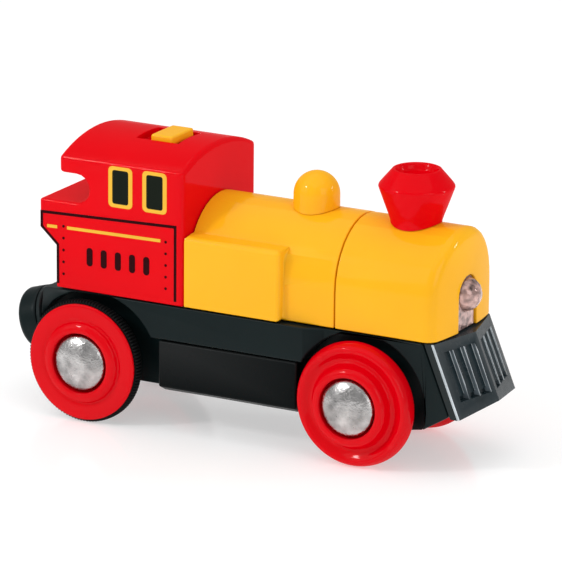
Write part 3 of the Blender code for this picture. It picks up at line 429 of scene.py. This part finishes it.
RIVET_RADIUS, RIVET_TOP = 0.27, 37.7
RIVET_COLUMNS = ((-34.7, 2.35), (-12.35, 2.28))     # (x, spacing)
VENT_X = (-29.6, -26.5, -23.4, -20.3, -17.2)
VENT_Z = (30.6, 34.2)
VENT_WIDTH, VENT_CORNER = 1.3, 0.6
dark_ink = [stroke([(-10.3, 26.3), (-10.3, 40.9), (-39.5, 40.0), (-39.5, 37.15), (-35.95, 33.95),
                    (-35.95, 26.3)], LINE_WIDTH)]
for x, spacing in RIVET_COLUMNS:
    dark_ink += [disc((x, RIVET_TOP - spacing * row), RIVET_RADIUS) for row in range(5)]
dark_ink += [panel((x, VENT_Z[0]), (x + VENT_WIDTH, VENT_Z[1]), VENT_CORNER) for x in VENT_X]
side_print("cab_lines_and_vents", dark_ink, PRINT_DARK)

SLIDER_WIDEST = 0.4
SLIDER_SHOWN_Z = 53.4       # the cap, above the recess floor


def slider_edge(first, second):
    return SLIDER_WIDEST if min(first.z, second.z) > SLIDER_SHOWN_Z else 0.0


softened("switch_slider", slider_edge, SLIDER_WIDEST, 3, AMBER)


# ---------------------------------------------------------------- boiler

SIDE_BOX_TOP_Z = (39.0, 39.6)   # the side box's top lies between these
SIDE_BOX_TOP_REACH = 11.5       # farther out than where that top meets the barrel
BOILER_OUTSIDE = 12.3           # just inside the barrel's side faces
BOILER_WIDEST = 0.9
SEAM_WIDTH = 0.2


def boiler_edge(first, second):
    side = nearest_side(first, second)
    low, high = sorted((first.z, second.z))
    if low > SIDE_BOX_TOP_Z[0] and high < SIDE_BOX_TOP_Z[1] and side > SIDE_BOX_TOP_REACH:
        return 0.8
    if on_both(first, second, X, SIDE_BOX_FRONT) and side > BOILER_OUTSIDE:
        return BOILER_WIDEST
    if on_both(first, second, X, SEAM_REAR):
        return SEAM_WIDTH
    if on_both(first, second, X, BOILER_REAR):
        return 0.0
    if side > BOILER_OUTSIDE:
        return 0.3
    return 0.0


softened("boiler_rear_shell", boiler_edge, BOILER_WIDEST, 4)

NOSE_SHOWN_X = 43.5             # the rim round the lamp, ahead of this
NOSE_WIDEST = 0.25


def nose_edge(first, second):
    if on_both(first, second, X, SEAM_FRONT) or on_both(first, second, Z, SHELL_BASE):
        return SEAM_WIDTH
    if min(first.x, second.x) > NOSE_SHOWN_X:
        return NOSE_WIDEST
    return 0.0


softened("boiler_front_shell", nose_edge, NOSE_WIDEST, 3)

DOME_X, FUNNEL_X = 12.25, 33.25
DOME_RADIUS, DOME_CENTRE_Z = 4.42, 47.3
FITTING_STEPS, SADDLE_STEPS = 128, 192
SADDLE_RADIUS = BOILER_HALF + 0.12
SADDLE_REACH = 12.0


def seated(name, profile, x, finish, node):
    """A turned fitting whose foot is cut to the boiler's arch."""
    place = Matrix.Translation((x * MM, 0.0, 0.0))
    piece = add_piece(name, lathe(profile, place, FITTING_STEPS, closed=False), finish, "chassis",
                      SLOT_OF[node], node)
    barrel = [(0.0, -SADDLE_REACH), (SADDLE_RADIUS, -SADDLE_REACH), (SADDLE_RADIUS, SADDLE_REACH),
              (0.0, SADDLE_REACH)]
    along_boiler = (Matrix.Translation((x * MM, 0.0, ARCH_CENTRE_Z * MM))
                    @ Matrix.Rotation(math.pi / 2, 4, 'Y'))
    saddle = bpy.data.objects.new(name + "_saddle",
                                  lathe(barrel, along_boiler, SADDLE_STEPS, closed=False))
    bpy.context.scene.collection.objects.link(saddle)
    seat = piece.modifiers.new("seat", 'BOOLEAN')
    seat.operation = 'DIFFERENCE'
    seat.solver = 'EXACT'
    seat.object = saddle
    bpy.context.view_layer.update()
    depsgraph = bpy.context.evaluated_depsgraph_get()
    mesh = bpy.data.meshes.new_from_object(piece.evaluated_get(depsgraph))
    piece.modifiers.clear()
    piece.data = mesh
    bpy.data.objects.remove(saddle)
    mesh.set_sharp_from_angle(angle=math.radians(40))
    return piece


# Profiles from here on are (radius, height) points in mm.
dome_profile = [(0.0, DOME_CENTRE_Z + DOME_RADIUS)]
dome_profile += [(DOME_RADIUS * math.sin(math.radians(a)),
                  DOME_CENTRE_Z + DOME_RADIUS * math.cos(math.radians(a)))
                 for a in range(6, 91, 6)]
dome_profile += [(DOME_RADIUS, 46.0), (DOME_RADIUS + 0.05, 40.0), (0.0, 40.0)]
seated("dome_finished", dome_profile, DOME_X, AMBER, "dome")

funnel_profile = [(0.0, 53.35), (2.8, 53.4), (3.45, 53.6), (3.8, 54.2), (3.95, 54.75),
                  (4.15, 54.95), (4.4, 55.0), (4.62, 54.9), (4.8, 54.68), (5.6, 53.75),
                  (6.5, 52.7), (6.95, 52.15), (7.15, 51.85), (7.2, 51.55), (7.08, 51.2),
                  (6.72, 50.2), (6.17, 48.7), (5.69, 47.4), (5.2, 46.1), (4.9, 45.2),
                  (4.85, 44.6), (4.85, 40.0), (0.0, 40.0)]
seated("funnel_finished", funnel_profile, FUNNEL_X, RED, "funnel")


# ---------------------------------------------------------------- headlamp

LENS_FACE_X = (43.5, 44.05)     # the flat face round the bulge lies between these
LENS_WIDEST = 0.25


def lens_edge(first, second):
    rear, ahead = sorted((first.x, second.x))
    return LENS_WIDEST if rear > LENS_FACE_X[0] and ahead < LENS_FACE_X[1] else 0.0


softened("headlamp_lens", lens_edge, LENS_WIDEST, 2)


# ---------------------------------------------------------------- chassis, door, cowcatcher

LOWER_WIDEST = 0.35
COUPLER_BRACKET_X = -37.0       # the bracket, behind this, stays sharp
CHIN_X = 40.0                   # the chin, ahead of this, is rounded across its whole width
CHASSIS_OUTSIDE, DOOR_OUTSIDE = 12.0, 11.7


def chassis_edge(first, second):
    if max(first.x, second.x) < COUPLER_BRACKET_X:
        return 0.0
    shown = nearest_side(first, second) > CHASSIS_OUTSIDE or min(first.x, second.x) > CHIN_X
    return LOWER_WIDEST if shown else 0.0


softened("chassis_frame", chassis_edge, LOWER_WIDEST, 3)


def door_edge(first, second):
    return LOWER_WIDEST if nearest_side(first, second) > DOOR_OUTSIDE else 0.0


# The battery door takes the darker black, a painted shade.
softened("battery_door", door_edge, LOWER_WIDEST, 3, DOOR_BLACK_SHADED)

PLOW_SIDE = PLOW_HALF - 0.1     # the plow's side faces lie beyond this
PLOW_WIDEST = 0.3


def plow_front(point):
    """How far a point lies ahead of the plow's leaning back face."""
    return point.x - PLOW_BACK_X - PLOW_LEAN * (CHASSIS_TOP - point.z)


def plow_edge(first, second):
    upright = abs(first.z - second.z) > 3.0
    if not upright or min(plow_front(first), plow_front(second)) < 1.0:
        return 0.0
    if nearest_side(first, second) > PLOW_SIDE:
        return PLOW_WIDEST
    return 0.13


def plow_shade_and_highlight(centre, normal):
    """Painted shade as black sides and painted highlight as light slot walls; 0 leaves the plow's own
    grey.
    """
    if abs(centre.y) > PLOW_SIDE:
        return 1
    return 2 if abs(normal.y) > 0.8 else 0


# Painted shade on the plow's sides (chassis black) and painted highlight on its slot walls and rounded
# edges.
softened("cowcatcher", plow_edge, PLOW_WIDEST, 2, accents=(BLACK, PLOW_WALL_HIGHLIGHT, PLOW_EDGE_HIGHLIGHT), tint=plow_shade_and_highlight)


# ---------------------------------------------------------------- wheels

FRONT_WHEEL = [(5.85, 17.2), (5.95, 17.45), (6.3, 17.58), (6.8, 17.55), (7.25, 17.35),
               (7.6, 16.9), (7.85, 16.1), (8.1, 15.4), (8.6, 15.05), (9.3, 15.15), (10.0, 15.65),
               (10.7, 15.95), (11.2, 15.85), (11.6, 15.25), (11.85, 14.6), (12.02, 13.8),
               (12.02, 13.2), (11.8, 12.75), (11.2, 11.85), (10.3, 10.65), (9.9, 10.3),
               (8.5, 10.3), (1.8, 10.3), (1.8, 10.4), (1.8, 15.75), (1.9, 15.85), (5.75, 15.85),
               (5.85, 15.95)]
REAR_WHEEL = [(5.85, 17.1), (5.95, 17.4), (6.3, 17.55), (6.9, 17.5), (7.4, 17.25), (7.8, 16.95),
              (7.95, 16.4), (8.2, 16.3), (8.6, 16.42), (9.2, 16.48), (10.8, 16.48), (11.2, 16.42),
              (11.38, 16.3), (11.42, 16.12), (11.4, 15.98), (9.9, 15.95), (9.85, 15.8),
              (9.75, 12.0), (9.3, 10.3), (1.8, 10.3), (1.8, 10.4), (1.8, 15.75), (1.9, 15.85),
              (5.75, 15.85), (5.85, 15.95)]
TYRE = [(12.02, 15.4), (12.05, 15.0), (12.05, 14.3), (11.95, 14.1), (10.85, 12.05), (10.7, 11.98),
        (10.2, 11.98), (10.15, 12.1), (10.15, 15.6), (10.2, 15.68), (11.75, 15.7), (11.9, 15.62)]
CAP = [(0.0, 18.75), (1.0, 18.72), (2.0, 18.61), (3.0, 18.42), (3.9, 18.13), (4.7, 17.72),
       (5.2, 17.35), (5.45, 17.0), (5.5, 16.7), (5.5, 16.25), (5.4, 16.15), (0.0, 16.15)]
TEETH = 116
TOOTH_DEPTH, TOOTH_ROOT = 0.45, 11.0
WHEEL_STEPS = 160

for sign, side_name in ((-1, "right"), (1, "left")):
    rear, front = side_place(REAR_AXLE, sign), side_place(FRONT_AXLE, sign)
    add_piece(f"rear_wheel_{side_name}_finished",
              lathe(rounded_off(REAR_WHEEL), rear, WHEEL_STEPS), WHEEL_RED_SHADED,
              "rear_axle_set", "red_plastic", f"rear_wheel_{side_name}")
    add_piece(f"rear_tyre_{side_name}_toothed",
              lathe(rounded_off(TYRE), rear, TEETH * 6,
                    ripple=(TEETH, TOOTH_DEPTH, TOOTH_ROOT)), RUBBER,
              "rear_axle_set", "tyre_rubber", f"rear_tyre_{side_name}")
    add_piece(f"front_wheel_{side_name}_finished",
              lathe(rounded_off(FRONT_WHEEL), front, WHEEL_STEPS), WHEEL_RED_SHADED, "front_axle_set",
              "red_plastic", f"front_wheel_{side_name}")
    for end, place in (("rear", rear), ("front", front)):
        add_piece(f"{end}_hub_cap_{side_name}_domed", lathe(CAP, place, 96, closed=False), CHROME,
                  f"{end}_axle_set", "hub_cap_metal", f"{end}_hub_cap_{side_name}")


# ---------------------------------------------------------------- coupling

BARREL = (Matrix.Translation(Vector(PITCH_PIN) * MM)
          @ Matrix.Rotation(-(math.pi / 2 + DROOP), 4, 'Y'))
CAP_RING = [(4.2, 5.37), (4.3, 5.37), (5.2, 5.37), (5.6, 5.28), (5.9, 5.0), (6.1, 4.5), (6.1, 4.4),
            (6.1, 1.25), (6.0, 1.15), (5.0, 1.15), (4.9, 1.2), (4.9, 4.3), (4.2, 4.3)]
add_piece("coupler_cap_finished", lathe(rounded_off(CAP_RING), BARREL, 128), BLACK,
          "coupler_head", "black_plastic", "coupler_cap")
MAGNET = [(0.0, 5.6), (3.6, 5.6), (3.85, 5.5), (3.9, 5.3), (3.9, 4.0), (4.6, 4.0), (4.6, 2.4),
          (0.0, 2.4)]
add_piece("coupler_magnet_finished", lathe(MAGNET, BARREL, 96, closed=False), STEEL,
          "coupler_head", "steel", "coupler_magnet")


# ---------------------------------------------------------------- stage, light and camera

def floor():
    bpy.ops.mesh.primitive_plane_add(size=6.0, location=(0.0, 0.0, 0.0))
    ground = bpy.context.object
    ground.name = "floor"
    ground.data.materials.append(surface("floor_white", (0.74, 0.74, 0.74), 0.16, specular=0.3,
                                         mottle=0.005, grain=0.0, scuffs=0.01, glow=0.42))


# Lamps: name, place in metres, width and height in metres, watts.
LAMPS = (("overhead", (-0.05, -0.1, 0.7), (1.1, 0.9), 2.0),
         ("left_front", (-0.55, -0.6, 0.45), (0.6, 0.6), 1.0),
         ("key_left", (-0.45, -0.56, 0.52), (0.1, 0.13), 1.5),
         ("key_right", (0.6, 0.32, 0.26), (0.08, 0.12), 0.6),
         ("right_front", (0.75, -0.35, 0.35), (0.5, 0.5), 1.2))
LAMP_AIM = (0.0, 0.0, 0.025)


def softbox(name, location, size, power):
    light = bpy.data.lights.new(name, 'AREA')
    light.shape = 'RECTANGLE'
    light.size, light.size_y = size
    light.energy = power
    made = bpy.data.objects.new(name, light)
    bpy.context.scene.collection.objects.link(made)
    made.location = location
    direction = Vector(LAMP_AIM) - Vector(location)
    made.rotation_euler = direction.to_track_quat('-Z', 'Y').to_euler()


CAMERA_DEGREES = (28.26, 16.17, 0.485)      # round from the side, above, and rolled
CAMERA_LENS = 336.3
CAMERA_TARGET = (4.85, 0.0, 28.92)          # mm
CAMERA_DISTANCE = 0.997                     # metres


def camera():
    azimuth, elevation, roll = (math.radians(a) for a in CAMERA_DEGREES)
    back = Vector((math.sin(azimuth) * math.cos(elevation),
                   -math.cos(azimuth) * math.cos(elevation), math.sin(elevation)))
    right = Vector((math.cos(azimuth), math.sin(azimuth), 0.0))
    up = back.cross(right)
    rolled_right = right * math.cos(roll) + up * math.sin(roll)
    rolled_up = up * math.cos(roll) - right * math.sin(roll)
    data = bpy.data.cameras.new("camera")
    data.lens = CAMERA_LENS
    made = bpy.data.objects.new("camera", data)
    bpy.context.scene.collection.objects.link(made)
    turn = Matrix((rolled_right, rolled_up, back)).transposed().to_4x4()
    place = Vector(CAMERA_TARGET) * MM + back * CAMERA_DISTANCE
    made.matrix_world = Matrix.Translation(place) @ turn
    bpy.context.scene.camera = made


floor()
for lamp in LAMPS:
    softbox(*lamp)
world = bpy.data.worlds.new("studio")
world.use_nodes = True
world.node_tree.nodes["Background"].inputs["Color"].default_value = (1.0, 1.0, 1.0, 1.0)
world.node_tree.nodes["Background"].inputs["Strength"].default_value = 0.52
bpy.context.scene.world = world
bpy.context.scene.view_settings.view_transform = 'Standard'
camera()
